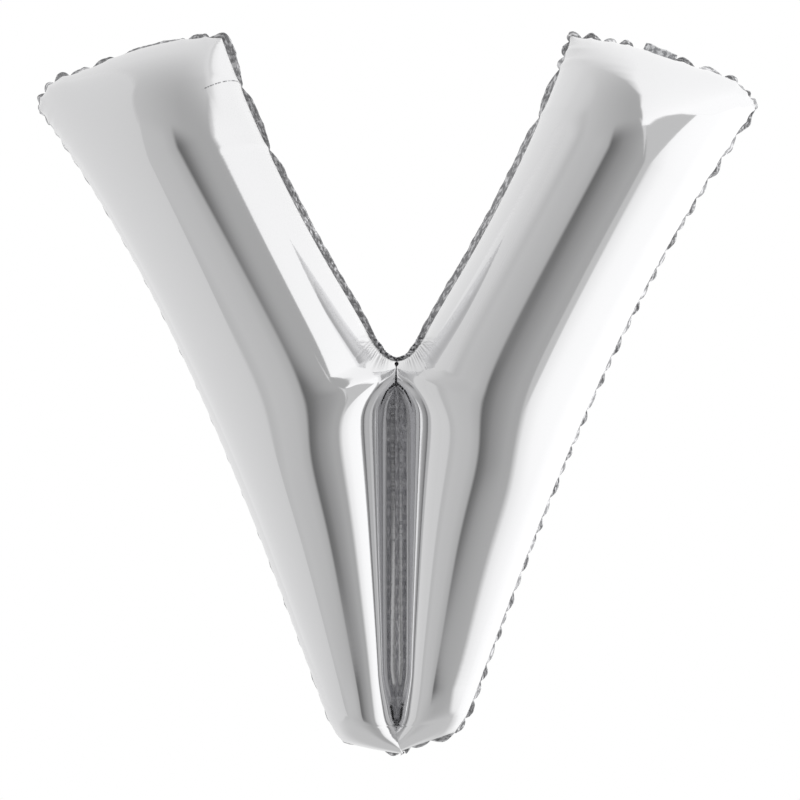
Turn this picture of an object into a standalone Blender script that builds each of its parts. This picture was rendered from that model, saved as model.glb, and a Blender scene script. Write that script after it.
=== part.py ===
"""A foil balloon in the shape of the letter V, inflated and hanging in the air.

Two sheets of metallised film, front and back, are heat-sealed to each other round their edge
and along a strip between the legs. Full of gas, each leg is a round tube that tapers to the
foot of the letter, with a pillow end at its top. The sealed margin stands out round the
whole letter as a thin flange, and the film sleeve of the filling valve comes out through it
at the top of one leg.

The letter stands upright in the XZ plane and its front faces -Y. The origin is on the strip
between the legs, at half the letter's height. Sizes are in metres.
"""

import math

import bmesh
import bpy
import numpy as np

# Envelope
WALL = 0.010
GAP = 0.0003
ROUNDNESS = 0.98
TOP_BULGE = 0.024
FOOT_END = 0.045
FOOT_CLOSING = 1.1

# Edges of one leg: its distance from the middle of the letter as a polynomial of height
OUTER_EDGE = (0.2336, 0.2378, 0.4495, 0.2374)
INNER_EDGE = (-0.3978, 0.7060, -0.0161)
NOTCH = 0.040

# Strip between the legs, which ends in a point
WELD_HALF = 0.0045
WELD_TOP = 0.030
WELD_END = -0.390
WELD_TIP = WELD_END - WELD_HALF

# Chords across a leg, top to foot, as the heights of their outer and inner ends. The leg
# swells from the first to the second, where it is a full round tube.
CHORDS = (
    (0.353, 0.436),
    (0.242, 0.318),
    (0.104, 0.206),
    (0.004, 0.104),
    (-0.063, NOTCH),
    (-0.073, WELD_TOP),
    (-0.158, -0.075),
    (-0.252, -0.190),
    (-0.331, -0.300),
    (-0.380, WELD_END),
    (-0.3835, WELD_TIP),
)
FOOT_CHORD = (-0.421, -0.443)

# Sealed margin
FILM = 0.0008
MARGIN = 0.010
LEAN_INNER = math.radians(0)
LEAN_OUTER = math.radians(55)

# Filling valve, at the top of the leg on the +X side
VALVE_X = 0.326
VALVE_WIDTH = 0.043
VALVE_LENGTH = 0.013
VALVE_CLEARANCE = 0.0004

# Fineness of the envelope's mesh
ACROSS = 18
BETWEEN = 2
END_ROWS = 7
FOOT_ROWS = 5


def edge_x(heights):
    """Distance of a leg's outer edge from the middle at these heights."""
    return np.polyval(OUTER_EDGE, heights)


def inner_x(heights):
    """Distance of a leg's inner edge from the middle: the leg's own edge down to the notch,
    then the side of the strip, which closes to the middle at its tip."""
    slant = np.polyval(INNER_EDGE, heights)
    places = (WELD_TIP, WELD_END, WELD_TOP, NOTCH)
    strip = np.interp(
        heights, places, (0, WELD_HALF, WELD_HALF, np.polyval(INNER_EDGE, NOTCH))
    )
    return np.where(heights >= NOTCH, slant, strip)


def between(first, second, share):
    """The chord at this share of the way from one chord to another."""
    return [a + (b - a) * share for a, b in zip(first, second, strict=True)]


def chord_rows(inset):
    """The chords that the rows of a surface lie on, for the surface this far inside the
    film's outer face. Each gives its two heights, how full the leg is, and its bow."""
    rows = []
    start = inset / (CHORDS[0][1] - CHORDS[1][1])
    for k in range(END_ROWS):
        angle = math.pi / 2 * k / END_ROWS
        share = start + (1 - start) * (1 - math.cos(angle))
        rows.append((*between(CHORDS[0], CHORDS[1], share), math.sin(angle), 1 - share))
    for first, second in zip(CHORDS[1:], CHORDS[2:]):
        rows += [(*between(first, second, k / BETWEEN), 1, 0) for k in range(BETWEEN)]
    tip = (CHORDS[-1][0], WELD_TIP - inset)
    foot = (FOOT_CHORD[0] + inset, FOOT_CHORD[1] + inset)
    rows += [(*between(tip, foot, k / FOOT_ROWS), 1, 0) for k in range(FOOT_ROWS + 1)]
    return np.array(rows)


def leg_surface(inset=0.0):
    """The front half of the +X leg as a grid of points, one row for each chord, on the
    surface this far inside the film's outer face. Across a row the surface is half a circle
    on the chord, from the outer edge to the inner edge. Below the strip's tip it stops
    short, at the middle of the letter, where the other leg carries it on."""
    outer_z, inner_z, fullness, bow = chord_rows(inset).T
    tip, foot = WELD_TIP - inset, FOOT_CHORD[1] + inset
    past = np.clip((tip - inner_z) / (tip - foot), 0, 1)
    outer = np.stack([edge_x(outer_z), outer_z], axis=1)
    inner = np.stack([inner_x(inner_z), inner_z], axis=1)
    span = inner - outer
    along = span / np.linalg.norm(span, axis=1, keepdims=True)
    outer += inset * along
    inner -= inset * along * (inner_z > tip + inset)[:, None]
    span = inner - outer
    half = np.linalg.norm(span, axis=1)[:, None] / 2
    rise = (outer_z - FOOT_CHORD[0] - inset) / (FOOT_END - inset)
    fullness = fullness * np.sqrt(1 - (1 - np.clip(rise, 0, 1)) ** 2)
    last = math.pi - FOOT_CLOSING * np.sqrt(past)[:, None]
    angle = np.linspace(0, 1, ACROSS + 1)[None, :] * last
    share = (1 - np.cos(angle)) / (1 - np.cos(last))
    plan = outer[:, None] + share[..., None] * span[:, None]
    square = np.stack([along[:, 1], -along[:, 0]], axis=1)[:, None]
    plan += (bow[:, None] * TOP_BULGE * 4 * share * (1 - share))[..., None] * square
    depth = ROUNDNESS * half * np.sin(angle) * fullness[:, None]
    depth[:, 0] = 0
    depth[past <= 0, -1] = 0
    return np.stack([plan[..., 0], -depth, plan[..., 1]], axis=-1)


def seam_line():
    """The seam of the +X half of the letter, from the top of the strip up the inner edge,
    over the top of the leg, and down the outer edge to the foot."""
    grid = leg_surface()[..., (0, 2)]
    inner = grid[:, -1][grid[:, -1, 1] >= WELD_TOP - 1e-6][::-1]
    start = np.array([[0.0, WELD_TOP]])
    return np.concatenate([start, inner, grid[0, -2::-1], grid[1:, 0], grid[-1, 1:]])


def outward(line):
    """Unit vectors square to a line in the plane, to its left, with the length that keeps an
    offset line parallel on both sides of a corner."""
    steps = np.diff(line, axis=0)
    steps /= np.linalg.norm(steps, axis=1, keepdims=True)
    before = np.concatenate([steps[:1], steps])
    after = np.concatenate([steps, steps[-1:]])
    middle = before + after
    middle /= np.linalg.norm(middle, axis=1, keepdims=True)
    stretch = 1 / np.maximum((middle * after).sum(axis=1), 0.75)
    return np.stack([-middle[:, 1], middle[:, 0]], axis=1) * stretch[:, None]


def new_object(name, verts, faces, collection, material):
    mesh = bpy.data.meshes.new(name)
    mesh.from_pydata([tuple(v) for v in verts], [], faces)
    obj = bpy.data.objects.new(name, mesh)
    collection.objects.link(obj)
    if material:
        mesh.materials.append(material)
    return obj


def strip_faces(rows, columns):
    """Quads of a grid of points that is stored row by row."""
    return [
        (r * columns + c, r * columns + c + 1, (r + 1) * columns + c + 1, (r + 1) * columns + c)
        for r in range(rows - 1)
        for c in range(columns - 1)
    ]


def join_ends(obj):
    """Makes points that coincide one, such as those where rows end at the strip."""
    mesh = bmesh.new()
    mesh.from_mesh(obj.data)
    bmesh.ops.remove_doubles(mesh, verts=mesh.verts, dist=1e-6)
    bmesh.ops.recalc_face_normals(mesh, faces=mesh.faces)
    mesh.to_mesh(obj.data)
    mesh.free()


def add_mirror(obj):
    mirror = obj.modifiers.new("other_leg", "MIRROR")
    mirror.use_axis = (True, False, False)
    mirror.merge_threshold = 0.00001


def add_thickness(obj, thickness, offset):
    solidify = obj.modifiers.new("thickness", "SOLIDIFY")
    solidify.thickness = thickness
    solidify.offset = offset
    solidify.use_even_offset = False


def cut_with(obj, cutter):
    """Takes the cutter's shape out of the object."""
    cutter.hide_render = True
    cutter.display_type = "WIRE"
    cut = obj.modifiers.new(cutter.name, "BOOLEAN")
    cut.operation = "DIFFERENCE"
    cut.object = cutter


def film_material(name, colour, roughness, metallic):
    material = bpy.data.materials.new(name)
    material.use_nodes = True
    shader = material.node_tree.nodes["Principled BSDF"]
    shader.inputs["Base Color"].default_value = (*colour, 1)
    shader.inputs["Roughness"].default_value = roughness
    shader.inputs["Metallic"].default_value = metallic
    return material


def make_panel(name, side, collection, material):
    """One sheet of film, from the seam on one side of the letter to the seam on the other.
    side is -1 for the front and 1 for the back. Its wall is a loft between the film's outer
    and inner faces, with a flat rim along the seam."""
    faces_of_wall = [leg_surface(), leg_surface(WALL)]
    rows, columns = faces_of_wall[0].shape[:2]
    count = rows * columns
    points = np.concatenate([face.reshape(-1, 3) for face in faces_of_wall])
    points[:, 1] = side * (np.abs(points[:, 1]) + GAP / 2)
    quads = strip_faces(rows, columns)
    to_tip = int((faces_of_wall[0][:, -1, 1] < 0).argmax())
    rim = [*range(columns - 1, to_tip * columns, columns)][::-1]
    rim += [*range(columns - 2, -1, -1), *range(columns, count, columns)]
    rim += range(count - columns + 1, count)
    quads += [tuple(v + count for v in quad[::-1]) for quad in quads]
    quads += [(a, b, b + count, a + count) for a, b in zip(rim, rim[1:])]
    obj = new_object(name, points, quads, collection, material)
    if side > 0:
        obj.data.flip_normals()
    add_mirror(obj)


def margin_lean(line):
    """How far the margin leans back at each point of the seam: flat along the inner edges,
    folded back round the top, the outer edges and the foot."""
    inner = edge_x(line[:, 1]) - line[:, 0]
    width = edge_x(line[:, 1]) - inner_x(line[:, 1])
    across = np.clip(inner / np.maximum(width, 0.01), 0, 1)
    along = np.clip((across - 0.55) / 0.35, 0, 1)
    along = np.where(line[:, 1] < WELD_END, 0, along)
    return LEAN_OUTER + (LEAN_INNER - LEAN_OUTER) * along


def make_margin(collection, material):
    """The sealed margin, one ribbon round the whole letter, cut through for the valve."""
    line = seam_line()
    normal = outward(line)
    lean = margin_lean(line)
    clearance = GAP + FILM / 2
    root = line + normal * clearance
    tip = root + normal * (MARGIN * np.cos(lean))[:, None]
    root[:, 0] = np.maximum(root[:, 0], line[:, 0] * 0.1)
    tip[:, 0] = np.maximum(tip[:, 0], line[:, 0] * 0.1)
    for points in (root, tip):
        points[[0, -1], 0] = 0
    grid = np.zeros((len(line), 2, 3))
    grid[:, 0, (0, 2)] = root
    grid[:, 1, (0, 2)] = tip
    grid[:, 1, 1] = MARGIN * np.sin(lean)
    obj = new_object(
        "edge_seam", grid.reshape(-1, 3), strip_faces(len(line), 2), collection, material
    )
    join_ends(obj)
    add_mirror(obj)
    add_thickness(obj, FILM, 0)
    return obj


def make_plate(name, size, place, turn, collection, material):
    """A flat plate of film with this width, thickness and height, turned about Y."""
    mesh = bmesh.new()
    bmesh.ops.create_cube(mesh, size=1)
    bmesh.ops.scale(mesh, vec=size, verts=mesh.verts)
    data = bpy.data.meshes.new(name)
    mesh.to_mesh(data)
    mesh.free()
    obj = bpy.data.objects.new(name, data)
    obj.location = place
    obj.rotation_euler = (0, turn, 0)
    collection.objects.link(obj)
    if material:
        data.materials.append(material)
    return obj


def valve_place():
    """Where the valve crosses the seam, and the seam's slope there."""
    top = leg_surface()[0][:, (0, 2)]
    near = np.abs(top[:, 0] - VALVE_X).argmin()
    step = top[near + 1] - top[near - 1]
    slope = math.atan2(step[1], -step[0])
    height = np.interp(VALVE_X, top[::-1, 0], top[::-1, 1])
    return np.array([VALVE_X, height]), slope


def make_valve(margin, parts, cutters, material):
    """The valve's flat sleeve, in a slot through the margin."""
    seam, slope = valve_place()
    up = np.array([math.sin(slope), math.cos(slope)])
    centre = seam + up * (VALVE_LENGTH / 2 + 0.0012)
    size = (VALVE_WIDTH, FILM, VALVE_LENGTH)
    place = (centre[0], 0, centre[1])
    make_plate("valve_sleeve", size, place, slope, parts, material)
    room = (VALVE_WIDTH + 2 * VALVE_CLEARANCE, 0.1, 0.06)
    cut_with(margin, make_plate("valve_slot", room, place, slope, cutters, None))


def make_weld(collection, material):
    """The strip where the two sheets are sealed together between the legs."""
    length = WELD_TOP - WELD_END
    size = (2 * (WELD_HALF - GAP), FILM, length - 2 * GAP)
    return make_plate(
        "centre_weld", size, (0, 0, (WELD_TOP + WELD_END) / 2), 0, collection, material
    )


def main():
    for old in list(bpy.data.objects):
        bpy.data.objects.remove(old, do_unlink=True)
    parts = bpy.data.collections.new("letter_v_foil_balloon")
    cutters = bpy.data.collections.new("cutters")
    for collection in (parts, cutters):
        bpy.context.scene.collection.children.link(collection)

    front = film_material("front_foil", (0.78, 0.78, 0.79), 0.12, 1.0)
    back = film_material("back_foil", (0.76, 0.76, 0.77), 0.12, 1.0)
    sealed = film_material("sealed_foil", (0.50, 0.50, 0.51), 0.35, 1.0)
    crimped = film_material("crimped_foil", (0.60, 0.60, 0.61), 0.30, 1.0)
    clear = film_material("valve_film", (0.80, 0.80, 0.80), 0.30, 0.0)

    make_panel("front_panel", -1, parts, front)
    make_panel("back_panel", 1, parts, back)
    margin = make_margin(parts, sealed)
    make_weld(parts, crimped)
    make_valve(margin, parts, cutters, clear)


main()
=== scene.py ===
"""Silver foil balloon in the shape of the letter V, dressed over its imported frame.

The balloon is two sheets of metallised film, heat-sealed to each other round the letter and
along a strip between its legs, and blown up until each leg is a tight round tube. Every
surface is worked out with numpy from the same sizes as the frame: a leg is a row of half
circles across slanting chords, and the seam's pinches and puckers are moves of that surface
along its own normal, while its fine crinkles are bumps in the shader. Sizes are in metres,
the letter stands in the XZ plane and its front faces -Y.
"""

from __future__ import annotations

import logging
import math

from dataclasses import dataclass, field, replace
from enum import Enum

import bpy
import numpy as np
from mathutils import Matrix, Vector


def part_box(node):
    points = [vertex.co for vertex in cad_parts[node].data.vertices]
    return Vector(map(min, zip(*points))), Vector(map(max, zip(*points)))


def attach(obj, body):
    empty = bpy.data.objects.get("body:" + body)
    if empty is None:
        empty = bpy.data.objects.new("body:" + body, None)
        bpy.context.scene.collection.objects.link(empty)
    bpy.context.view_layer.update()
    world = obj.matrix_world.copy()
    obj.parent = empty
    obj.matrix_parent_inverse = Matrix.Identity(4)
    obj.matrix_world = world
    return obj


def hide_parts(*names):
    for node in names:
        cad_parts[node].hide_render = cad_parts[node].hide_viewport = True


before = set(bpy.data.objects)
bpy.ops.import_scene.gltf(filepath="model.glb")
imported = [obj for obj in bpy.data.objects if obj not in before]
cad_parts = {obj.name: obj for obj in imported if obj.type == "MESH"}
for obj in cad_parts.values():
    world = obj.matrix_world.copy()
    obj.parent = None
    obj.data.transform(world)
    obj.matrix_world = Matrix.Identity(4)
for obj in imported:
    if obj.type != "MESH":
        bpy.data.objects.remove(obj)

Pair = tuple[float, float]
Pairs = tuple[Pair, ...]

LOG = logging.getLogger("foil_letter")
TINY = 1e-9
WAVES = ((1.0, 1.0, 0.0), (1.618, 2.3, 1.0), (0.447, 3.7, 2.0))


class Side(Enum):
    """The letter's left and right leg, as the sign of X."""

    LEFT = -1
    RIGHT = 1


class Face(Enum):
    """The sheet of film on the front or on the back, as the sign of Y."""

    FRONT = -1
    BACK = 1


def linear(colour: str) -> tuple[float, float, float, float]:
    """Turn an sRGB colour into the linear values that a shader reads.

    Args:
        colour: The colour as "#RRGGBB".

    Returns:
        Red, green, blue and an alpha of 1.
    """
    shown = np.array([int(colour[k : k + 2], 16) for k in (1, 3, 5)]) / 255
    values = np.where(shown <= 0.04045, shown / 12.92, ((shown + 0.055) / 1.055) ** 2.4)
    return (*values.tolist(), 1.0)


def smooth_curve(places: np.ndarray, values: np.ndarray, at: np.ndarray) -> np.ndarray:
    """Read a smooth curve through given points.

    Between two points it is a cubic. Its slope at a point is the harmonic mean of the two
    straight slopes that meet there, so it never swings past the points.

    Args:
        places: Where the points are, rising.
        values: The curve's value at each of them.
        at: Where the curve is read.

    Returns:
        The curve's values, in the shape of ``at``.
    """
    places, values = np.asarray(places, float), np.asarray(values, float)
    step = np.diff(places)
    slope = np.diff(values) / step
    both = slope[:-1] * slope[1:]
    total = slope[:-1] + slope[1:]
    inside = np.where(both > 0, 2 * both / np.where(total == 0, 1, total), 0)
    slopes = np.concatenate([slope[:1], inside, slope[-1:]])
    k = np.clip(np.searchsorted(places, at, side="right") - 1, 0, len(step) - 1)
    t = (np.asarray(at) - places[k]) / step[k]
    return (
        (1 + 2 * t) * (1 - t) ** 2 * values[k]
        + t * (1 - t) ** 2 * step[k] * slopes[k]
        + t**2 * (3 - 2 * t) * values[k + 1]
        + t**2 * (t - 1) * step[k] * slopes[k + 1]
    )


def uneven(places: np.ndarray, seed: float = 0.0) -> np.ndarray:
    """Smooth, repeatable unevenness: three sines whose wavelengths share no multiple.

    Each row of ``WAVES`` is a sine's rate, how much of the seed it takes and where it starts.

    Args:
        places: Where it is read, in units of its own wavelength.
        seed: Moves the sines against each other.

    Returns:
        Values from -1 to 1.
    """
    turn = 6.283 * places
    sines = [np.sin(turn * rate + part * seed + start) for rate, part, start in WAVES]
    return sum(sines) / len(WAVES)


def waver(places: np.ndarray, size: Pair, seed: float = 0.0) -> np.ndarray:
    """Unevenness of a given size: its share and its wavelength."""
    share, wavelength = size
    return share * uneven(places / wavelength, seed)


def bell(values: np.ndarray, width: np.ndarray | float) -> np.ndarray:
    """exp(-(values / width) squared): 1 at 0, and falling off to both sides."""
    return np.exp(-((values / width) ** 2))


def fade(values: np.ndarray, low: float, high: float) -> np.ndarray:
    """An even step with rounded ends: 0 up to ``low`` and 1 from ``high`` on.

    Args:
        values: Where the step is read.
        low: Where it leaves 0.
        high: Where it reaches 1, which may lie below ``low`` for a falling step.

    Returns:
        Values from 0 to 1.
    """
    share = np.clip((values - low) / (high - low), 0, 1)
    return share * share * (3 - 2 * share)


def lengths(points: np.ndarray, axis: int) -> np.ndarray:
    """Distance walked along a grid of points, from its first row or column.

    Args:
        points: Grid of points, their coordinates last.
        axis: The direction of the walk.

    Returns:
        One distance for each point.
    """
    steps = np.linalg.norm(np.diff(points, axis=axis), axis=-1)
    start = np.zeros_like(np.take(steps, [0], axis=axis))
    return np.concatenate([start, np.cumsum(steps, axis=axis)], axis=axis)


def unit(vectors: np.ndarray) -> np.ndarray:
    """The same directions at a length of 1."""
    return vectors / np.maximum(np.linalg.norm(vectors, axis=-1, keepdims=True), 1e-12)


def upright(plan: np.ndarray, depth: np.ndarray) -> np.ndarray:
    """Points from their X and Z, last in ``plan``, and their Y."""
    return np.stack([plan[..., 0], depth, plan[..., 1]], axis=-1)


@dataclass(frozen=True)
class Surface:
    """Points and faces of one sheet, with what its material reads at every point: the place
    along the seam, the distance from it and, on the film, how deep it is creased, which
    its material paints as shade."""

    points: np.ndarray
    quads: np.ndarray
    seam: np.ndarray

    def joined(self, other: Surface) -> Surface:
        """This surface and another as one."""
        return Surface(
            np.concatenate([self.points, other.points]),
            np.concatenate([self.quads, other.quads + len(self.points)]),
            np.concatenate([self.seam, other.seam]),
        )

    def turned(self) -> Surface:
        """The same surface with its faces turned to the other side."""
        return Surface(self.points, self.quads[:, ::-1], self.seam)


def sheet(points: np.ndarray, seam: np.ndarray) -> Surface:
    """Make a surface of a grid of points.

    Args:
        points: The grid, row by row.
        seam: What the material reads at each point.

    Returns:
        The surface, with a face between each four neighbours.
    """
    rows, columns = points.shape[:2]
    index = np.arange(rows * columns).reshape(rows, columns)
    corners = (index[:-1, :-1], index[:-1, 1:], index[1:, 1:], index[1:, :-1])
    quads = np.stack(corners, axis=-1).reshape(-1, 4)
    return Surface(points.reshape(-1, 3), quads, seam.reshape(rows * columns, -1))


def new_piece(name: str, surface: Surface, material: bpy.types.Material) -> bpy.types.Object:
    """Make a smooth-shaded piece of a surface, with its seam coordinates as a UV map and
    the share of painted shade in its creases as an attribute.

    Args:
        name: Name of the piece.
        surface: Its points, faces and seam coordinates.
        material: Its finish.

    Returns:
        The new object, at the origin.
    """
    mesh = bpy.data.meshes.new(name)
    count, faces = len(surface.points), len(surface.quads)
    mesh.vertices.add(count)
    mesh.vertices.foreach_set("co", surface.points.astype(np.float32).ravel())
    mesh.loops.add(faces * 4)
    mesh.loops.foreach_set("vertex_index", surface.quads.astype(np.int32).ravel())
    mesh.polygons.add(faces)
    mesh.polygons.foreach_set("loop_start", np.arange(0, faces * 4, 4, dtype=np.int32))
    mesh.polygons.foreach_set("use_smooth", np.ones(faces, dtype=bool))
    seam = mesh.uv_layers.new(name="seam")
    corners = surface.seam[surface.quads.ravel(), :2]
    seam.data.foreach_set("uv", corners.astype(np.float32).ravel())
    if surface.seam.shape[1] > 2:
        crease = mesh.attributes.new("crease", "FLOAT", "POINT")
        crease.data.foreach_set("value", surface.seam[:, 2].astype(np.float32))
    mesh.update(calc_edges=True)
    mesh.validate()
    mesh.materials.append(material)
    piece = bpy.data.objects.new(name, mesh)
    bpy.context.scene.collection.objects.link(piece)
    return piece


def thicken(piece: bpy.types.Object, thickness: float) -> None:
    """Give a piece made as a middle surface its thickness, half on each side.

    Args:
        piece: The piece.
        thickness: The thickness of its wall.
    """
    wall = piece.modifiers.new("two_sheets", "SOLIDIFY")
    wall.thickness = thickness
    wall.offset = 0


@dataclass(frozen=True)
class Pinches:
    """Places along a leg's seam where the blown-up film pulls it in.

    A place is the walk along the seam from the notch, up the inner edge, over the top and
    down the outer edge.
    """

    places: np.ndarray
    depths: np.ndarray
    reaches: np.ndarray
    widest: float = 0.0042
    narrow: float = 0.2

    def distance(self, run: np.ndarray) -> tuple[np.ndarray, np.ndarray]:
        """How far each place of the seam is from the nearest pinch.

        Args:
            run: Places along the seam.

        Returns:
            The distance to the nearest pinch, and the distance between the two around it.
        """
        k = np.clip(np.searchsorted(self.places, run) - 1, 0, len(self.places) - 2)
        before, after = self.places[k], self.places[k + 1]
        near = np.minimum(np.abs(run - before), np.abs(after - run))
        return near, after - before

    def tooth(self, run: np.ndarray) -> np.ndarray:
        """Shape of the pinches along the seam: exp(-distance / width), where the width is
        ``narrow`` times the spacing, or ``widest``."""
        near, gap = self.distance(run)
        return np.exp(-near / np.minimum(self.narrow * gap, self.widest))

    def dent(self, run: np.ndarray, away: np.ndarray) -> np.ndarray:
        """How far the film is pulled in: the tooth times depth times exp(-away / reach).

        Args:
            run: Places along the seam.
            away: Distances from the seam over the film.

        Returns:
            Depths in metres.
        """
        depth = np.interp(run, self.places, self.depths)
        reach = np.interp(run, self.places, self.reaches)
        return depth * self.tooth(run) * np.exp(-away / reach)

    def swing(self, run: np.ndarray) -> np.ndarray:
        """A wave that changes side at every pinch, from -1 to 1."""
        return np.sin(math.pi * np.interp(run, self.places, np.arange(len(self.places))))


@dataclass(frozen=True)
class LegForm:
    """Form of a blown-up leg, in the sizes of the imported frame.

    The outer and inner edges give the distance from the middle as a polynomial of height. A
    chord joins a height on the outer edge to one on the inner edge.
    """

    roundness: float = 0.98
    top_bulge: float = 0.0195
    shoulder_bulge: float = 0.0110
    shoulder_share: float = 0.12
    foot_end: float = 0.056
    outer_edge: tuple[float, ...] = (0.2336, 0.2378, 0.4495, 0.2374)
    inner_edge: tuple[float, ...] = (-0.3978, 0.7060, -0.0188)
    notch: float = 0.0425
    weld_half: float = 0.0019
    weld_top: float = 0.040
    weld_end: float = -0.390
    seam_heights: tuple[float, ...] = (0.0425, 0.0440, 0.0490, 0.0588, 0.0675, 0.0823, 0.125)
    seam_places: tuple[float, ...] = (0.0003, 0.0070, 0.0165, 0.0252, 0.0313, 0.0388, 0.0632)
    notch_ease: float = 0.068
    depth_ease: float = 0.045
    notch_upright: float = 0.6
    press: float = 0.0150
    press_height: float = 0.031
    press_span: float = 0.032
    press_end: Pair = (0.052, 0.036)
    groove_half: float = 0.0014
    skirt: float = 0.0082
    skirt_angles: Pair = (0.115, 0.80)
    skirt_top: Pair = (0.040, -0.012)
    foot_lead: float = 0.016
    foot_close: float = 0.0028
    foot_slant: Pair = (-0.004, 0.010)
    foot_slant_reach: float = 0.024
    corner_share: float = 0.020
    corner_pull: float = 0.008
    corner_span: float = 0.036
    outer_heights: tuple[float, ...] = (
        0.353, 0.242, 0.104, 0.004, -0.063, -0.158, -0.252, -0.331, -0.380, -0.3835,
    )
    inner_heights: tuple[float, ...] = (
        0.436, 0.318, 0.206, 0.104, 0.040, -0.075, -0.190, -0.300, -0.390, -0.3945,
    )
    foot_chord: Pair = (-0.421, -0.443)
    foot_slant_start: float = 0.4
    press_share: float = 0.45
    skirt_rise: float = 0.07
    upright_height: float = -0.01
    upright_span: float = 0.10
    crowding: float = 4.5
    crowding_span: float = 0.034
    least_speed: float = 0.02
    edge_crowding: float = 0.09
    measures: int = 4000
    top_rows: int = 46
    body_rows: int = 304
    foot_rows: int = 26
    columns: int = 131

    def tip(self) -> float:
        """Height of the strip's pointed end."""
        return self.inner_heights[-1]

    def on_strip(self, heights: np.ndarray) -> np.ndarray:
        """Whether heights on the inner side are at or above the strip's pointed end."""
        return heights >= self.tip() - TINY

    def inner_x(self, heights: np.ndarray) -> np.ndarray:
        """Distance of the seam on a leg's inner side from the middle.

        Args:
            heights: Heights on that side.

        Returns:
            The edge's own curve, its rounded corner at the notch, and below that the side of
            the strip, which closes to the middle at its tip.
        """
        slant = np.polyval(self.inner_edge, heights)
        corner = smooth_curve(
            self.seam_heights, self.seam_places, np.clip(heights, self.notch, None)
        )
        strip = np.interp(heights, (self.tip(), self.weld_end), (0, self.weld_half))
        top = self.seam_places[0]
        strip = top + (strip - top) * fade(heights, self.notch, self.notch - self.weld_top)
        above = np.where(heights > self.seam_heights[-1], slant, corner)
        return np.where(heights >= self.notch, above, strip)

    def round_x(self, heights: np.ndarray, share: np.ndarray) -> np.ndarray:
        """Where the chord that carries the tube's round ends, from the middle.

        Along the seam the inner edge turns sharply at the notch, while further over the film
        the turn is drawn out. So the slanting edge and the groove's side are blended over a
        stretch that grows with the distance from the seam: within it, at a place t from -1
        to 1, the curve rises by (t + 1) squared / 4 - (1 + cos(pi t)) / (2 pi squared) of the
        stretch. Below the notch the tubes press on each other, which takes off a bell of
        ``press``. Near the foot a square term carries the end past the middle, so that the
        groove closes.

        Args:
            heights: Heights on the inner edge.
            share: Places across the tube, 0 at the outer edge and 1 at the inner one.

        Returns:
            Distances, below 0 past the middle.
        """
        reach = np.polyval(self.inner_edge, heights) - self.groove_half
        drop = np.clip((self.tip() + self.foot_lead - heights) / self.foot_lead, 0, None) ** 2
        pressing = bell(heights - self.press_height, self.press_span)
        pressing = self.press * (pressing * fade(heights, *self.press_end))

        def end(at: np.ndarray) -> np.ndarray:
            """The blended end.

            Args:
                at: Places across the tube.

            Returns:
                Its distances from the middle.
            """
            ease = self.notch_ease * (1 - at) + 1e-6
            turn = np.clip(reach / ease, -1, 1)
            rise = (turn + 1) ** 2 / 4 - (1 + np.cos(math.pi * turn)) / (2 * math.pi**2)
            blend = self.groove_half + ease * rise + np.maximum(reach - ease, 0)
            pressed = pressing * fade(at, self.press_share, 1.0)
            return blend - self.foot_close * drop - pressed

        gap = np.where(self.on_strip(heights), self.inner_x(heights) - end(1.0), 0)
        return end(share) + gap * bell(1 - share, self.corner_share)

    def stations(self) -> np.ndarray:
        """Rows of the body, from the first full chord to the strip's tip, closest together
        at the notch, as places between the chords.

        Returns:
            Rising values from 1 to the number of the last chord.
        """
        last = len(self.inner_heights) - 1
        walk = np.linspace(1, last, self.measures)
        heights = smooth_curve(np.arange(last + 1), self.inner_heights, walk)
        edge = np.stack([self.inner_x(heights), heights], axis=-1)
        speed = np.linalg.norm(np.gradient(edge, walk, axis=0), axis=-1) + self.least_speed
        near = np.hypot(edge[:, 0], heights - self.notch)
        crowd = speed * (1 + self.crowding * bell(near, self.crowding_span))
        total = np.concatenate([[0], np.cumsum((crowd[1:] + crowd[:-1]) / 2)])
        return np.interp(np.linspace(0, total[-1], self.body_rows), total, walk)

    def rows(self) -> np.ndarray:
        """All chords, top to foot.

        Returns:
            For each row the heights of the chord's two ends, how full the leg is there, and
            how much of the top's bow it takes.
        """
        turn = np.arange(self.top_rows) / self.top_rows * math.pi / 2
        share = 1 - np.cos(turn)
        places = np.concatenate([share, self.stations()])
        index = np.arange(len(self.inner_heights))
        outer = smooth_curve(index, self.outer_heights, places)
        inner = smooth_curve(index, self.inner_heights, places)
        full = np.concatenate([np.sin(turn), np.ones(self.body_rows)])
        bow = np.concatenate([1 - share, np.zeros(self.body_rows)])
        down = np.arange(1, self.foot_rows + 1) / self.foot_rows
        outer = np.concatenate([outer, outer[-1] + (self.foot_chord[0] - outer[-1]) * down])
        inner = np.concatenate([inner, inner[-1] + (self.foot_chord[1] - inner[-1]) * down])
        rest = np.ones(self.foot_rows)
        return np.stack(
            [outer, inner, np.concatenate([full, rest]), np.concatenate([bow, 0 * rest])]
        )

    def radii(self, outer: np.ndarray, inner: np.ndarray) -> np.ndarray:
        """Depth of the tube at each chord: half of its length, averaged along the leg.

        The average is weighted by exp(-(distance / depth_ease) squared), so the depth swells
        and shrinks more slowly than the outline.

        Args:
            outer: X and Z of the chords' outer ends.
            inner: X and Z of their inner ends.

        Returns:
            One depth for each chord.
        """
        walk = lengths((outer + inner) / 2, 0)
        weight = bell(walk[:, None] - walk, self.depth_ease) * np.gradient(walk)
        half = np.linalg.norm(inner - outer, axis=1) / 2
        return weight @ half / weight.sum(axis=1)

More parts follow.
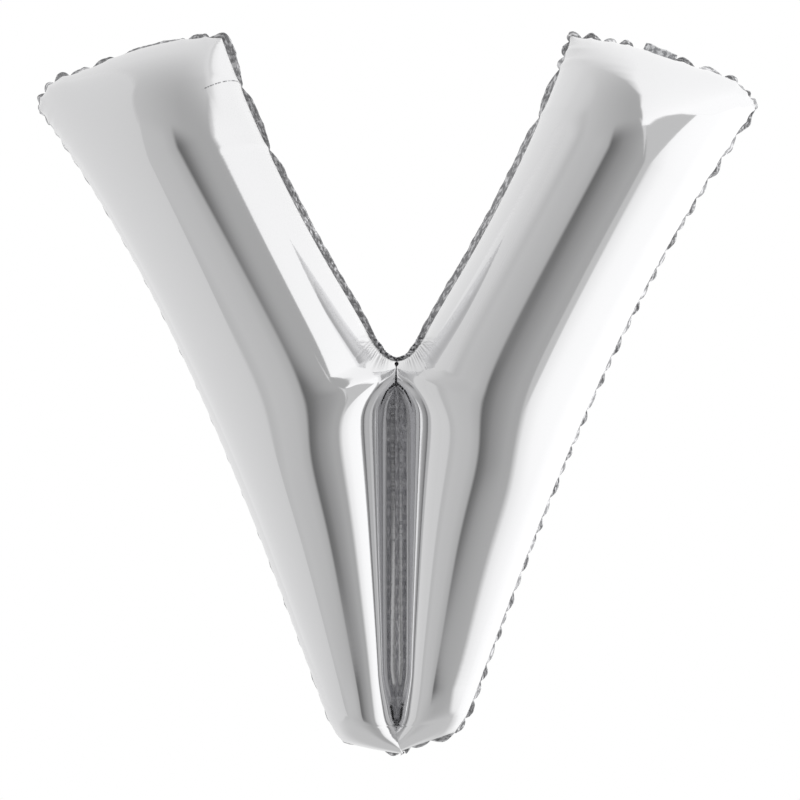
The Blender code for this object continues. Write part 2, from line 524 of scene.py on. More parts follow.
    def surface(self, lean: float) -> np.ndarray:
        """The front half of the leg on the +X side.

        Across a row the surface is half a circle on the chord, from the outer edge to the
        inner one: the place along the chord goes with 1 - cos and the depth with sin of the
        same angle. Each column has its own inner end, from ``round_x``. Beside the strip
        the film spreads like a skirt, which falls off with the angle that is left. At the
        foot the outer corner is rounded off by a square term. Below the strip's tip it
        stops short, at the middle of the letter, where the other leg carries it on. The top
        edge bulges up by ``top_bulge`` in its middle and by ``shoulder_bulge`` near the
        outer corner.

        Args:
            lean: How far the crest lies off the middle of the chord, towards the inner
                edge, as a share of the leg's half width. ``notch_upright`` of it is lost
                at the notch.

        Returns:
            Grid of points, one row for each chord.
        """
        outer_z, inner_z, full, bow = self.rows()
        strip = self.on_strip(inner_z)
        corner = np.clip(1 - (outer_z - self.foot_chord[0]) / self.corner_span, 0, 1)
        outer_x = np.polyval(self.outer_edge, outer_z) - self.corner_pull * corner**2
        outer = np.stack([outer_x, outer_z], axis=1)
        foot_x = self.round_x(inner_z, 0.0)
        middle = np.clip(outer[:, 0] / (outer[:, 0] - foot_x), 0, 1)
        last = np.where(strip, math.pi, np.arccos(1 - 2 * middle))[:, None]
        even = np.linspace(0, 1, self.columns)[None, :]
        angle = (even - self.edge_crowding * np.sin(2 * math.pi * even)) * last
        eased = 1 - self.notch_upright * bell(inner_z - self.upright_height, self.upright_span)
        share = (1 - np.cos(angle) + lean * eased[:, None] * np.sin(angle) ** 2) / 2
        inner_x = self.round_x(inner_z[:, None], share)
        inner = np.stack(np.broadcast_arrays(inner_x, inner_z[:, None]), axis=-1)
        span = inner - outer[:, None]
        half = self.radii(outer, inner[:, self.columns // 2])[:, None]
        rise = np.clip((outer_z - self.foot_chord[0]) / self.foot_end, 0, 1)
        full = full * np.sqrt(1 - (1 - rise) ** 2)
        along = unit(span)
        square = np.stack([along[..., 1], -along[..., 0]], axis=-1)
        plan = outer[:, None] + share[..., None] * span
        shoulder = share / self.shoulder_share
        bulge = self.top_bulge * 4 * share * (1 - share)
        bulge = bulge + self.shoulder_bulge * shoulder * np.exp((1 - shoulder**2) / 2)
        plan += (bow[:, None] * bulge)[..., None] * square
        left = last - angle
        near, far = self.skirt_angles
        spread = (1 - np.exp(-left / near)) * bell(left, far) * strip[:, None]
        beside = fade(inner_z, *self.skirt_top)
        beside = beside * fade(inner_z, self.tip(), self.tip() + self.skirt_rise)
        plan[..., 0] += self.skirt * spread * beside[:, None]
        depth = self.roundness * half * np.sin(angle) * full[:, None]
        depth[:, 0] = 0
        depth[strip, -1] = 0
        return upright(plan, -depth)


@dataclass
class Leg:
    """One leg of this balloon: the form with its own pinches and folds.

    Every ``waver`` is a share and the wavelength of the unevenness that it scales.
    """

    side: Side
    form: LegForm
    top_pinches: tuple[float, ...]
    edge_pinches: tuple[float, ...]
    inner_pinches: tuple[float, ...]
    pinch_depth: float = 0.0028
    pinch_reach: float = 0.0070
    crease_reach: float = 0.016
    notch_spacing: float = 0.0042
    notch_stretch: float = 0.046
    pucker_centre: float = 0.10
    pucker_turn: float = 0.052
    pucker_depth: float = 0.0012
    pucker_reach: float = 0.0135
    pucker_span: tuple[float, float, float, float] = (0.10, 0.28, 0.62, 1.05)
    # line_width, line_end, line_waver and line_start shape a wavering line of painted shade along
    # the seam at the notch.
    line_width: float = 0.0014
    line_end: Pair = (0.062, 0.036)
    edge_spacing: float = 0.024
    named_depth: float = 0.8
    edge_depth: float = 0.22
    edge_reach: float = 0.5
    pinch_walk: Pair = (-0.030, 0.10)
    notch_waver: Pair = (0.28, 0.013)
    edge_waver: Pair = (0.25, 0.11)
    pucker_waver: Pair = (0.45, 0.30)
    depth_waver: Pair = (0.25, 0.11)
    reach_waver: Pair = (0.35, 0.17)
    line_waver: Pair = (0.6, 0.0042)
    line_start: float = -0.002
    notch_overlap: float = 0.001
    contact: float = 0.0004
    apart: float = 4.0
    lean: float = 0.09
    seed: float = 1.0
    grid: np.ndarray = field(init=False)
    runs: dict[str, np.ndarray] = field(init=False)

    def __post_init__(self) -> None:
        """Work out the smooth surface and the walks along its three seams."""
        self.grid = self.form.surface(self.lean)
        at_notch = int(np.abs(self.form.rows()[1] - self.form.notch).argmin())
        inner = lengths(self.grid[:, -1], 0)
        inner = inner[at_notch] - inner
        top = lengths(self.grid[0], 0)
        top = inner[0] + top[-1] - top
        outer = top[0] + lengths(self.grid[:, 0], 0)
        self.runs = {"inner": inner, "top": top, "outer": outer}

    def pinches(self) -> Pinches:
        """All pinches of the leg's seam: small close ones about the notch, those named on
        the inner edge and the top, and shallow ones down the outer edge.

        Returns:
            Their places, depths and reaches, in order along the seam.
        """
        corner, shoulder = self.runs["inner"][0], self.runs["top"][0]
        foot = self.runs["outer"][-1]
        first, past_foot = self.pinch_walk
        close = np.arange(first, self.notch_stretch, self.notch_spacing)
        close = close + self.notch_spacing * waver(close, self.notch_waver, self.seed)
        top = corner + (shoulder - corner) * np.array(self.top_pinches)
        named = shoulder + np.array(self.edge_pinches)
        down = np.arange(named[-1] + self.edge_spacing, foot + past_foot, self.edge_spacing)
        down = down + self.edge_spacing * waver(down, self.edge_waver, self.seed + 2)
        inner = np.array(self.inner_pinches)
        groups = (
            (close, 0.0, self.pinch_reach),
            (inner, self.named_depth, self.crease_reach),
            (top, 1.0, self.pinch_reach),
            (named, self.named_depth, self.pinch_reach),
            (down, self.edge_depth, self.edge_reach * self.pinch_reach),
        )
        places = np.concatenate([group[0] for group in groups])
        counts = [len(group[0]) for group in groups]
        depths = np.repeat([group[1] * self.pinch_depth for group in groups], counts)
        return Pinches(places, depths, np.repeat([group[2] for group in groups], counts))

    def film(self) -> np.ndarray:
        """The front film of the leg, pulled in along its normal at every pinch.

        Returns:
            Grid of points on the leg's own side of the letter.
        """
        pinches = self.pinches()
        dents = [pinches.dent(run, away) for run, away in zip(*self.seams())]
        dents = np.stack([*dents, self.puckers()]).max(axis=0)
        moved = self.grid - dents[..., None] * self.normals()
        moved[:, 0, 1] = 0
        moved[0, :, 1] = 0
        strip = self.form.on_strip(self.form.rows()[1])
        moved[strip, -1, 1] = 0
        middle = np.where(strip, self.contact, 0)[:, None]
        middle = np.minimum(middle, np.abs(moved[:, -1:, 0]))
        moved[..., 0] = np.maximum(moved[..., 0], middle) * self.side.value
        return self.slanted(moved)

    def slanted(self, points: np.ndarray) -> np.ndarray:
        """Slant the line where the legs meet under the strip's tip.

        X moves by a line of the height, faded in below the tip, times exp(-(x / reach)
        squared).

        Args:
            points: Points of the film.

        Returns:
            The same points, moved sideways near the foot's middle.
        """
        form = self.form
        low = form.foot_chord[1]
        share = np.clip((form.tip() - points[..., 2]) / (form.tip() - low), 0, 1)
        move = form.foot_slant[0] + (form.foot_slant[1] - form.foot_slant[0]) * share
        near = bell(points[..., 0], form.foot_slant_reach)
        points[..., 0] += move * fade(share, 0.0, form.foot_slant_start) * near
        return points

    def seams(self) -> tuple[np.ndarray, np.ndarray]:
        """Where every point of the grid lies by the inner edge, the top and the outer edge.

        Returns:
            Places along each of the three seams, and straight distances from them as seen
            from the front, with the seam first.
        """
        plan = self.grid[..., (0, 2)]
        walks = (
            self.runs["inner"][:, None], self.runs["top"][None, :], self.runs["outer"][:, None],
        )
        away = [
            np.linalg.norm(plan - edge, axis=-1) for edge in (plan[:, -1:], plan[:1], plan[:, :1])
        ]
        runs = [np.broadcast_to(walk, away[0].shape) for walk in walks]
        return np.stack(runs), np.stack(away)

    def puckers(self) -> np.ndarray:
        """How far the close puckers at the notch pull the film in.

        They lie on rays from a point above the notch. Around that point they are a wave
        whose length wanders, and outwards from the seam they die away like
        exp(-(distance / reach) squared).

        Returns:
            Depths in metres.
        """
        drop = self.pucker_centre - self.grid[..., 2]
        turn = np.arctan2(self.grid[..., 0], drop)
        far = np.hypot(self.grid[..., 0], drop)
        above = self.runs["inner"] >= -TINY
        away = far - np.interp(turn, turn[above, -1][::-1], far[above, -1][::-1])
        place = turn / self.pucker_turn + waver(turn, self.pucker_waver, self.seed)
        wave = 0.5 + 0.5 * np.sin(2 * math.pi * place)
        wave = wave * (1 - self.depth_waver[0] + waver(turn, self.depth_waver, 5.0))
        low, lower, high, higher = self.pucker_span
        span = fade(turn, low, lower) * fade(turn, higher, high)
        reach = self.pucker_reach * (1 + waver(turn, self.reach_waver, self.seed + 1))
        return self.pucker_depth * wave * span * bell(np.clip(away, 0, None), reach)

    def normals(self) -> np.ndarray:
        """Unit normals of the smooth surface, outwards.

        Along a seam the film stands square to the letter's plane, so there the normal is
        the outward square to the seam within the plane.

        Returns:
            One normal for each point of the grid.
        """
        return unit(np.cross(np.gradient(self.grid, axis=0), np.gradient(self.grid, axis=1)))

    def seam_places(self) -> np.ndarray:
        """Place along the nearest seam, distance from it and depth of the creases, which
        the film paints as shade: the puckers, and a wavering line of painted shade along
        the seam at the notch.

        Returns:
            Three values for each point of the grid: two in metres, the first less by
            ``apart`` on the left leg, and one from 0 to 1.
        """
        run, away = self.seams()
        nearest = away.argmin(axis=0)[None]
        places = [np.take_along_axis(values, nearest, 0)[0] for values in (run, away)]
        # Painted shade: a wavering dark line along the seam at the notch, joined with the puckers
        # into the share that darkens the film.
        width = self.line_width * (1 + waver(places[0], self.line_waver, self.seed))
        line = bell(places[1], width)
        line = line * fade(places[0], *self.line_end) * (places[0] > self.line_start)
        crease = np.maximum(self.puckers() / self.pucker_depth, line)
        run = places[0] + min(self.side.value, 0) * self.apart
        return np.stack([run, places[1], crease], axis=-1)

    def seam_line(self) -> tuple[np.ndarray, np.ndarray]:
        """The pinched seam in the letter's plane, from the notch up the inner edge, over the
        top and down the outer edge to the foot.

        Returns:
            X and Z of its points on the leg's own side, and their places along the seam.
        """
        film = self.film()
        above = self.runs["inner"] >= -TINY
        start = np.array([[0, 0, self.form.notch - self.notch_overlap]])
        line = np.concatenate(
            [start, film[above, -1][::-1], film[0, -2::-1], film[1:, 0], film[-1, 1:]]
        )[:, (0, 2)]
        walk = lengths(line, 0)
        return line, walk - walk[1]


class Graph:
    """The nodes of a material or a world, and the one way that they are added here.

    A source is a node with the name or number of one of its outputs.
    """

    def __init__(self, owner: bpy.types.Material | bpy.types.World) -> None:
        """Start with no nodes.

        Args:
            owner: The material or world that the nodes belong to.
        """
        owner.use_nodes = True
        self.owner = owner
        self.tree = owner.node_tree
        self.tree.nodes.clear()

    def feed(self, socket: bpy.types.NodeSocket, value: tuple | float) -> None:
        """Link a source to a socket, or set the socket's own value.

        Args:
            socket: The socket.
            value: A source, a number, a colour, or a grey for a colour's socket.
        """
        if isinstance(value, tuple) and isinstance(value[0], bpy.types.Node):
            self.tree.links.new(value[0].outputs[value[1]], socket)
        elif socket.type == "RGBA" and not isinstance(value, tuple):
            socket.default_value = (value, value, value, 1)
        else:
            socket.default_value = value

    def add(self, kind: str, values: dict | None = None) -> bpy.types.Node:
        """Add a node.

        Args:
            kind: Blender's name for the kind of node.
            values: Values or sources by the name or number of a socket, and values by the
                name of a property of the node.

        Returns:
            The new node.
        """
        node = self.tree.nodes.new(kind)
        for key, value in (values or {}).items():
            if isinstance(key, int) or key in node.inputs:
                self.feed(node.inputs[key], value)
            else:
                setattr(node, key, value)
        return node

    def maths(self, operation: str, *values: tuple | float) -> tuple:
        """Add a sum of numbers and sources by Blender's name for it, and return its source."""
        return self.add("ShaderNodeMath", {"operation": operation, **dict(enumerate(values))}), 0

    def tones(self, stops: Pairs, source: tuple) -> tuple:
        """Add a ramp of greys.

        Args:
            stops: Place and grey of each stop, with places rising.
            source: What it reads.

        Returns:
            Its source.
        """
        first, last = stops[0][0], stops[-1][0]
        share = self.add(
            "ShaderNodeMapRange", {"From Min": first, "From Max": last, "Value": source}
        )
        node = self.add("ShaderNodeValToRGB", {"Fac": (share, "Result")})
        elements = node.color_ramp.elements
        for k, (place, grey) in enumerate(stops):
            stop = elements[k] if k < 2 else elements.new(1.0)
            stop.position = (place - first) / (last - first)
            stop.color = (grey, grey, grey, 1)
        return node, "Color"

    def step(self, source: tuple, low: float, high: float) -> tuple:
        """Add a soft step like ``fade``, and return its source."""
        values = {"From Min": low, "From Max": high, "interpolation_type": "SMOOTHSTEP"}
        return self.add("ShaderNodeMapRange", {**values, "Value": source}), "Result"

    def mix(self, share: tuple, first: tuple | float, second: tuple | float) -> tuple:
        """Add a mix of two sources, colours or greys by the second one's share, and return
        its source."""
        values = {"data_type": "RGBA", 0: share, 6: first, 7: second}
        return self.add("ShaderNodeMix", values), 2

    def fall(self, away: tuple, reach: float) -> tuple:
        """Add exp(-away / reach), and return its source."""
        return self.maths("EXPONENT", self.maths("MULTIPLY", away, -1 / reach))

    def noise(self, place: tuple, values: dict, socket: str = "Vector") -> tuple:
        """Add noise at a place, and return its source."""
        return self.add("ShaderNodeTexNoise", {**values, socket: place}), "Fac"

    def streaks(self, place: tuple, spacing: float, detail: float) -> tuple:
        """Add noise along one coordinate.

        Args:
            place: The coordinate's source.
            spacing: About how far its crests lie apart.
            detail: How many finer octaves it has.

        Returns:
            Its source.
        """
        scaled = self.maths("MULTIPLY", place, 1 / spacing)
        values = {"noise_dimensions": "1D", "Scale": 1.0, "Detail": detail}
        return self.noise(scaled, values, "W")

    def seam(self) -> tuple[tuple, tuple]:
        """Add the seam's coordinates.

        Returns:
            The sources of the place along the seam and of the distance from it.
        """
        seam = self.add("ShaderNodeUVMap", {"uv_map": "seam"})
        parts = self.add("ShaderNodeSeparateXYZ", {0: (seam, "UV")})
        return (parts, "X"), (parts, "Y")

    def bump(self, height: tuple, distance: float, strength: float = 1.0) -> tuple:
        """Add a bump from a height, and return its source."""
        values = {"Strength": strength, "Distance": distance, "Height": height}
        return self.add("ShaderNodeBump", values), "Normal"

    def shade(self, values: dict) -> None:
        """End the graph with a principled shader, its sockets given by name."""
        shader = self.add("ShaderNodeBsdfPrincipled", values)
        self.add("ShaderNodeOutputMaterial", {"Surface": (shader, "BSDF")})


@dataclass(frozen=True)
class MirrorFilm:
    """Metallised polyester film, drawn smooth by the gas inside.

    A vacuum-laid coat of aluminium under a clear lacquer: it mirrors the room, a little
    softened. Where the seam gathers the film it stands in fine puckers, square to the seam
    and dying away from it, with long faint ones between them. In the deep creases at the
    notch its colour is darkened to grey as painted shade, and so it is along the one thin
    fold that runs out from a deep pinch of the left leg.
    """

    name: str
    colour: str = "#F1F1F2"
    roughness: float = 0.07
    seam_roughness: float = 0.26
    seam_reach: float = 0.0040
    pucker: float = 0.0036
    reach: float = 0.0040
    height: float = 0.00045
    long_pucker: float = 0.0062
    long_reach: float = 0.018
    long_height: float = 0.00007
    # The grey of painted shade in the creases and along the fold.
    crease_shade_colour: str = "#6C6C70"
    fold_place: float = -3.607
    fold_slant: float = 0.4
    fold_reach: float = 0.040
    fold_end: float = 0.036
    fold_width: float = 0.0012
    fold_dash: float = 0.0030
    dash_steps: Pair = (0.36, 0.58)

    def build(self) -> bpy.types.Material:
        """Make the material.

        Returns:
            The new material, on the seam's own coordinates: the place along it and the
            distance from it, in metres.
        """
        graph = Graph(bpy.data.materials.new(self.name))
        run, away = graph.seam()
        fine = self.ridges(graph, run, away, self.pucker, self.reach, self.height)
        faint = self.ridges(graph, run, away, self.long_pucker, self.long_reach, self.long_height)
        rough = graph.maths(
            "MULTIPLY_ADD",
            graph.fall(away, self.seam_reach),
            self.seam_roughness - self.roughness,
            self.roughness,
        )
        # Painted shade: the crease share and the fold darken the base colour towards the grey.
        crease = graph.add("ShaderNodeAttribute", {"attribute_name": "crease"})
        painted_shade = graph.maths("MAXIMUM", (crease, "Fac"), self.fold(graph, run, away))
        graph.shade(
            {
                "Base Color": graph.mix(painted_shade, linear(self.colour), linear(self.crease_shade_colour)),
                "Metallic": 1.0,
                "Roughness": rough,
                "Normal": graph.bump(graph.maths("ADD", fine, faint), 1.0),
            }
        )
        return graph.owner

    def fold(self, graph: Graph, run: tuple, away: tuple) -> tuple:
        """The one thin fold that runs out over the film from a deep pinch, drawn only as a
        line of painted shade.

        It lies where the place along the seam, with ``fold_slant`` of the distance from it
        added, is within ``fold_width`` of ``fold_place``, and noise breaks it into dashes.

        Args:
            graph: The material's graph.
            run: The source of the place along the seam.
            away: The source of the distance from it.

        Returns:
            The source of its share of painted shade, from 0 to 1.
        """
        off = graph.maths("MULTIPLY_ADD", away, self.fold_slant, run)
        off = graph.maths("ABSOLUTE", graph.maths("SUBTRACT", off, self.fold_place))
        line = graph.step(off, self.fold_width, 0.0)
        short = graph.maths("MULTIPLY", line, graph.step(away, self.fold_reach, self.fold_end))
        dash = graph.step(graph.streaks(away, self.fold_dash, 2.0), *self.dash_steps)
        return graph.maths("MULTIPLY", short, dash)

    @staticmethod
    def ridges(
        graph: Graph, run: tuple, away: tuple, spacing: float, reach: float, height: float
    ) -> tuple:
        """Ridges square to the seam: noise along it, times exp(-away / reach).

        Args:
            graph: The material's graph.
            run: The source of the place along the seam.
            away: The source of the distance from it.
            spacing: Distance from ridge to ridge.
            reach: How far they run out over the film.
            height: Their height at the seam.

        Returns:
            The source of the height in metres.
        """
        level = graph.streaks(run, spacing, 1.0)
        level = graph.maths("MULTIPLY_ADD", level, 2 * height, -height)
        return graph.maths("MULTIPLY", level, graph.fall(away, reach))


@dataclass(frozen=True)
class SealedFilm:
    """Two sheets of the same film, pressed together by hot jaws.

    The heat dulls the film and draws it into fine crinkles, so it mirrors light and dark
    specks side by side. Its grey colour is partly the seal's duller look and partly painted
    shade, and the paler streaks along the seam are painted reflection. The crinkles are a
    little coarser here than the real ones of 2 to 3 mm, so that they show.
    """

    name: str
    # The grey is partly painted shade; the paler tone is painted reflection in streaks along the
    # seam.
    colour: str = "#A4A4A6"
    pale: str = "#ECECEE"
    reflection_streak: Pair = (0.0085, 0.0026)
    reflection_streak_steps: Pair = (0.44, 0.66)
    roughness: float = 0.24
    crinkle: float = 0.0055
    cell: float = 0.0100
    height: float = 0.0012

    def build(self) -> bpy.types.Material:
        """Make the material.

        Returns:
            The new material: its crinkles on Object coordinates, its streaks on the seam's.
        """
        graph = Graph(bpy.data.materials.new(self.name))
        place = graph.add("ShaderNodeTexCoord"), "Object"
        creases = graph.add(
            "ShaderNodeTexVoronoi",
            {"feature": "SMOOTH_F1", "Scale": 1 / self.cell, "Randomness": 1.0, "Vector": place},
        )
        specks = graph.noise(place, {"Scale": 1 / self.crinkle, "Detail": 1.0, "Roughness": 0.5})
        both = graph.maths("ADD", (creases, "Distance"), specks)
        # Painted reflection: paler streaks along the seam, mixed into the grey.
        run, across = graph.seam()
        along = graph.maths("MULTIPLY", run, 1 / self.reflection_streak[0])
        across = graph.maths("MULTIPLY", across, 1 / self.reflection_streak[1])
        spot = graph.add("ShaderNodeCombineXYZ", {"X": along, "Y": across}), "Vector"
        streaks = graph.noise(spot, {"noise_dimensions": "2D", "Scale": 1.0, "Detail": 2.0})
        share = graph.step(streaks, *self.reflection_streak_steps)
        graph.shade(
            {
                "Base Color": graph.mix(share, linear(self.colour), linear(self.pale)),
                "Metallic": 1.0,
                "Roughness": self.roughness,
                "Normal": graph.bump(both, self.height),
            }
        )
        return graph.owner


@dataclass(frozen=True)
class ClearFilm:
    """Milky polyethylene of the valve's sleeve: thin, soft and half see-through, with grey
    painted shade in the valleys of its folds."""

    name: str
    colour: str = "#EDEEF0"
    # The grey of painted shade in the fold valleys, and the steps of its mask.
    fold_shade_colour: str = "#8A8B8F"
    fold_shade_steps: Pair = (0.62, 0.40)
    roughness: float = 0.35
    alpha: float = 0.78
    crease: float = 1 / 260
    height: float = 0.0006

    def build(self) -> bpy.types.Material:
        """Make the material.

        Returns:
            The new material, on Object coordinates.
        """
        graph = Graph(bpy.data.materials.new(self.name))
        place = graph.add("ShaderNodeTexCoord"), "Object"
        creases = graph.noise(place, {"Scale": 1 / self.crease, "Detail": 2.0})
        # Painted shade: the colour turns grey in the valleys of the crease noise.
        share = graph.step(creases, *self.fold_shade_steps)
        graph.shade(
            {
                "Base Color": graph.mix(share, linear(self.colour), linear(self.fold_shade_colour)),
                "Roughness": self.roughness,
                "Alpha": self.alpha,
                "IOR": 1.5,
                "Normal": graph.bump(creases, self.height, 0.5),
            }
        )
        return graph.owner


@dataclass
class Envelope:
    """The two sheets of film, each from the seam on one side of the letter to the other."""

    legs: tuple[Leg, Leg]
    seam_gap: float = 0.0003
    joining: float = 0.12

    def films(self) -> list[np.ndarray]:
        """The front films of both legs, drawn together below the strip's tip.

        There each leg's last column moves to the middle between the two. The move falls off
        across the leg like exp(-(share / joining) squared).

        Returns:
            The two grids of points, left one first.
        """
        films = [leg.film() for leg in self.legs]
        last = -self.legs[0].form.foot_rows - 1
        middle = (films[0][last:, -1] + films[1][last:, -1]) / 2
        share = np.linspace(1, 0, films[0].shape[1])
        fall = bell(share, self.joining)[None, :, None]
        for film in films:
            film[last:] += (middle - film[last:, -1])[:, None] * fall
        return films

    def build(self, face: Face, finish: MirrorFilm) -> bpy.types.Object:
        """Make one sheet, both legs of it as one surface.

        Args:
            face: The front or the back.
            finish: The film's finish.

        Returns:
            The new piece.
        """
        halves = []
        for leg, grid in zip(self.legs, self.films()):
            grid[..., 1] = face.value * (np.abs(grid[..., 1]) + self.seam_gap / 2)
            half = sheet(grid, leg.seam_places())
            halves.append(half.turned() if leg.side.value * face.value < 0 else half)
        name = f"{face.name.lower()}_film"
        piece = new_piece(name, halves[0].joined(halves[1]), finish.build())
        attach(piece, "root")
        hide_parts(f"{face.name.lower()}_panel")
        return piece


@dataclass(frozen=True)
class MarginShape:
    """How the sealed margin stands along a leg's seam.

    Each row gives a place as a share of its stretch, the margin's width and how far it
    leans back from the letter's plane, in metres and degrees.
    """

    inner: tuple[tuple[float, float, float], ...]
    top: tuple[tuple[float, float, float], ...]
    outer: tuple[tuple[float, float, float], ...]

    def read(self, leg: Leg, run: np.ndarray) -> tuple[np.ndarray, np.ndarray]:
        """Width and lean at places along the seam.

        Args:
            leg: The leg whose seam it is.
            run: Places along the seam.

        Returns:
            Widths in metres and leans in radians.
        """
        corner, shoulder = leg.runs["inner"][0], leg.runs["top"][0]
        ends = (0.0, corner, shoulder, leg.runs["outer"][-1])
        rows = np.array(
            [
                (low + (high - low) * share, width, lean)
                for low, high, table in zip(ends, ends[1:], (self.inner, self.top, self.outer))
                for share, width, lean in table
            ]
        )
        width = np.interp(run, rows[:, 0], rows[:, 1])
        return width, np.radians(np.interp(run, rows[:, 0], rows[:, 2]))


@dataclass
class SealedMargin:
    """The heat-sealed margin of both sheets, which stands out round the whole letter."""

    legs: tuple[Leg, Leg]
    shapes: dict[Side, MarginShape]
    thickness: float = 0.0003
    spacing: float = 0.0010
    across: int = 8
    underlap: float = 0.0020
    ripple: float = 0.0010
    crumple: float = 0.0012
    drawn: float = 0.90
    taper: float = 0.030
    slender: float = 0.42
    leaf_gap: Pair = (0.006, 0.014)
    leaf_start: Pair = (0.060, 0.090)
    leaf_point: float = 0.8
    width_waver: Pair = (0.10, 0.031)
    swing_lean: float = 0.15
    swing_gap: Pair = (0.003, 0.012)
    leaf_least: float = 0.1
    ripple_rise: float = 1.5
    folds: Pairs = ((0.0125, 0.55), (0.0171, -0.80))
    smoothing: int = 4

    def ribbon(self, leg: Leg) -> Surface:
        """The margin of one leg.

        At each place of the seam it leaves outwards, leaning back by the lean there. Its
        edge draws in to leaf shapes between the pinches, and it swings to and fro with them.
        Two sets of slanting folds, each the size of a wave without its sign, crumple it.

        Args:
            leg: The leg that it goes round.

        Returns:
            The ribbon's surface, in the letter's plane where it starts.
        """
        line, run = leg.seam_line()
        even = np.linspace(run[0], run[-1], int((run[-1] - run[0]) / self.spacing))
        line = np.stack([np.interp(even, run, line[:, k]) for k in (0, 1)], axis=1)
        step = np.gradient(line, axis=0)
        kernel = np.hanning(2 * self.smoothing + 1)
        kernel = kernel / kernel.sum()
        padded = np.pad(step, ((self.smoothing, self.smoothing), (0, 0)), mode="edge")
        right, up = (np.convolve(padded[:, k], kernel, "valid") for k in (0, 1))
        out = unit(np.stack([-up, right], axis=1)) * leg.side.value
        pinches = leg.pinches()
        width, lean = self.shapes[leg.side].read(leg, even)
        near, gap = pinches.distance(even)
        leaf = np.sin(math.pi / 2 * np.clip(near / np.minimum(0.5 * gap, self.taper), 0, 1))
        notched = self.drawn * fade(gap, *self.leaf_gap) * fade(np.abs(even), *self.leaf_start)
        slender = np.minimum(width, self.slender * gap)
        width = np.where(notched > self.leaf_least, slender, width)
        width = width * (1 - notched * (1 - leaf**self.leaf_point))
        width = width * (1 + waver(even, self.width_waver, leg.seed))
        swing = pinches.swing(even)
        lean = lean + self.swing_lean * np.cos(lean) * swing * fade(gap, *self.swing_gap)
        across = np.linspace(0, 1, self.across)[None, :]
        reach = (width[:, None] + self.underlap) * across - self.underlap
        rise = across**self.ripple_rise
        back = reach * np.sin(lean)[:, None] + self.ripple * rise * swing[:, None]
        crease, cross = (
            np.abs(uneven(even[:, None] / length + slant * across, leg.seed + shift))
            for (length, slant), shift in zip(self.folds, (0, 4))
        )
        back = back + self.crumple * np.sqrt(across) * (crease - cross)
        plan = line[:, None] + out[:, None] * (reach * np.cos(lean)[:, None])[..., None]
        own = np.maximum(plan[..., 0] * leg.side.value, 0) * leg.side.value
        plan[..., 0] = np.where(plan[..., 1] > leg.form.tip(), own, plan[..., 0])
        seam = np.stack([np.broadcast_to(even[:, None], reach.shape), reach], axis=-1)
        ribbon = sheet(upright(plan, back), seam)
        return ribbon if leg.side is Side.LEFT else ribbon.turned()

    def build(self, finish: SealedFilm) -> bpy.types.Object:
        """Make the margin of both legs as one piece.

        Args:
            finish: The finish of sealed film.

        Returns:
            The new piece.
        """
        left, right = (self.ribbon(leg) for leg in self.legs)
        piece = new_piece("sealed_margin", left.joined(right), finish.build())
        piece.visible_glossy = False
        thicken(piece, self.thickness)
        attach(piece, "root")
        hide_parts("edge_seam")
        return piece


@dataclass
class CentreWeld:
    """The strip between the legs, where hot jaws have pressed the two sheets together."""

    form: LegForm
    thickness: float = 0.0003
    rows: int = 900
    columns: int = 13
    underlap: float = 0.0004
    crimp: float = 0.0062
    crimp_waver: Pair = (0.6, 0.05)
    height: float = 0.00045
    height_waver: Pair = (0.4, 0.021)
    side_height: float = 0.3
    ripple: float = 0.0004
    ripple_length: float = 0.009
    ripple_slant: float = 1.4

    def build(self, finish: SealedFilm) -> bpy.types.Object:
        """Make the strip: a flat ribbon with cross folds, deepest along its middle.

        Args:
            finish: The finish of sealed film.

        Returns:
            The new piece.
        """
        heights = np.linspace(self.form.notch, self.form.tip(), self.rows)[:, None]
        share = np.linspace(-1, 1, self.columns)[None, :]
        half = np.minimum(self.form.inner_x(heights), self.form.weld_half) + self.underlap
        x = share * half
        fold = np.sin(math.pi * (heights / self.crimp + waver(heights, self.crimp_waver, 2.0)))
        middle = 1 - (1 - self.side_height) * np.abs(share)
        size = 1 - self.height_waver[0] + waver(heights, self.height_waver, 4.0)
        ripple = uneven(share * self.ripple_slant + heights / self.ripple_length, 1.0)
        y = self.height * middle * fold * size + self.ripple * ripple
        z = np.broadcast_to(heights, x.shape)
        strip = sheet(np.stack([x, y, z], axis=-1), np.stack([z, x], axis=-1)).turned()
        piece = new_piece("weld_strip", strip, finish.build())
        thicken(piece, self.thickness)
        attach(piece, "root")
        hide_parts("centre_weld")
        return piece


